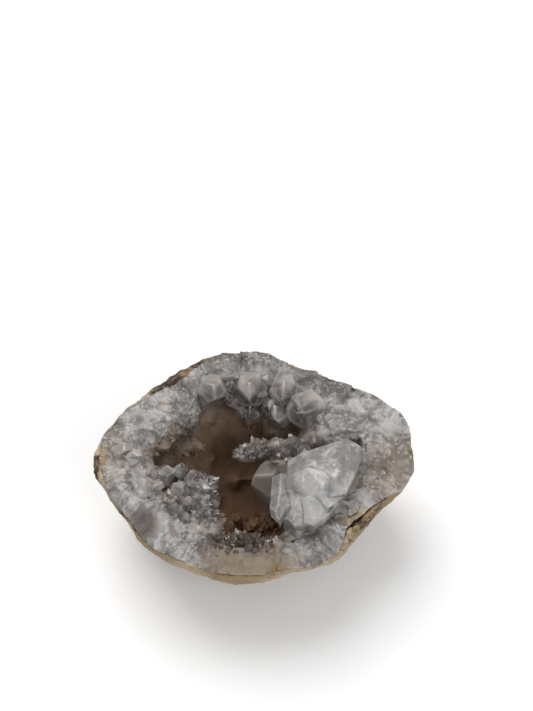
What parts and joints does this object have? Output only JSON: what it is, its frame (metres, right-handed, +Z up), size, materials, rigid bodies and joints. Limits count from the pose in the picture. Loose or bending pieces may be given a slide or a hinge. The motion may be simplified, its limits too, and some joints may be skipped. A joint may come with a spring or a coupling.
{
  "type": "geode half",
  "caption": "Half of a hollow quartz geode: an uneven bowl of broken milky quartz in a thin tan stone rind, its deep hollow lined with clear and smoky crystals.",
  "frame": {"origin": "under the middle of the stone's bounding box, at the height of the surface it rests on", "axes": "+X along the opening's longest width, +Y across the opening towards its higher edge, +Z up out of the opening"},
  "size_m": [0.0932, 0.0704, 0.047],
  "materials": {
    "tan_stone": "rough, dusty limestone skin with dark brown stains",
    "milky_quartz": "broken milky quartz, sugary and translucent, with glints",
    "clear_quartz": "glassy flat-faced crystals, clear to smoky grey"
  },
  "bodies": {
    "root": {"rind": "tan_stone", "quartz_wall": "milky_quartz", "crystal_crust": "clear_quartz"}
  },
  "joints": []
}
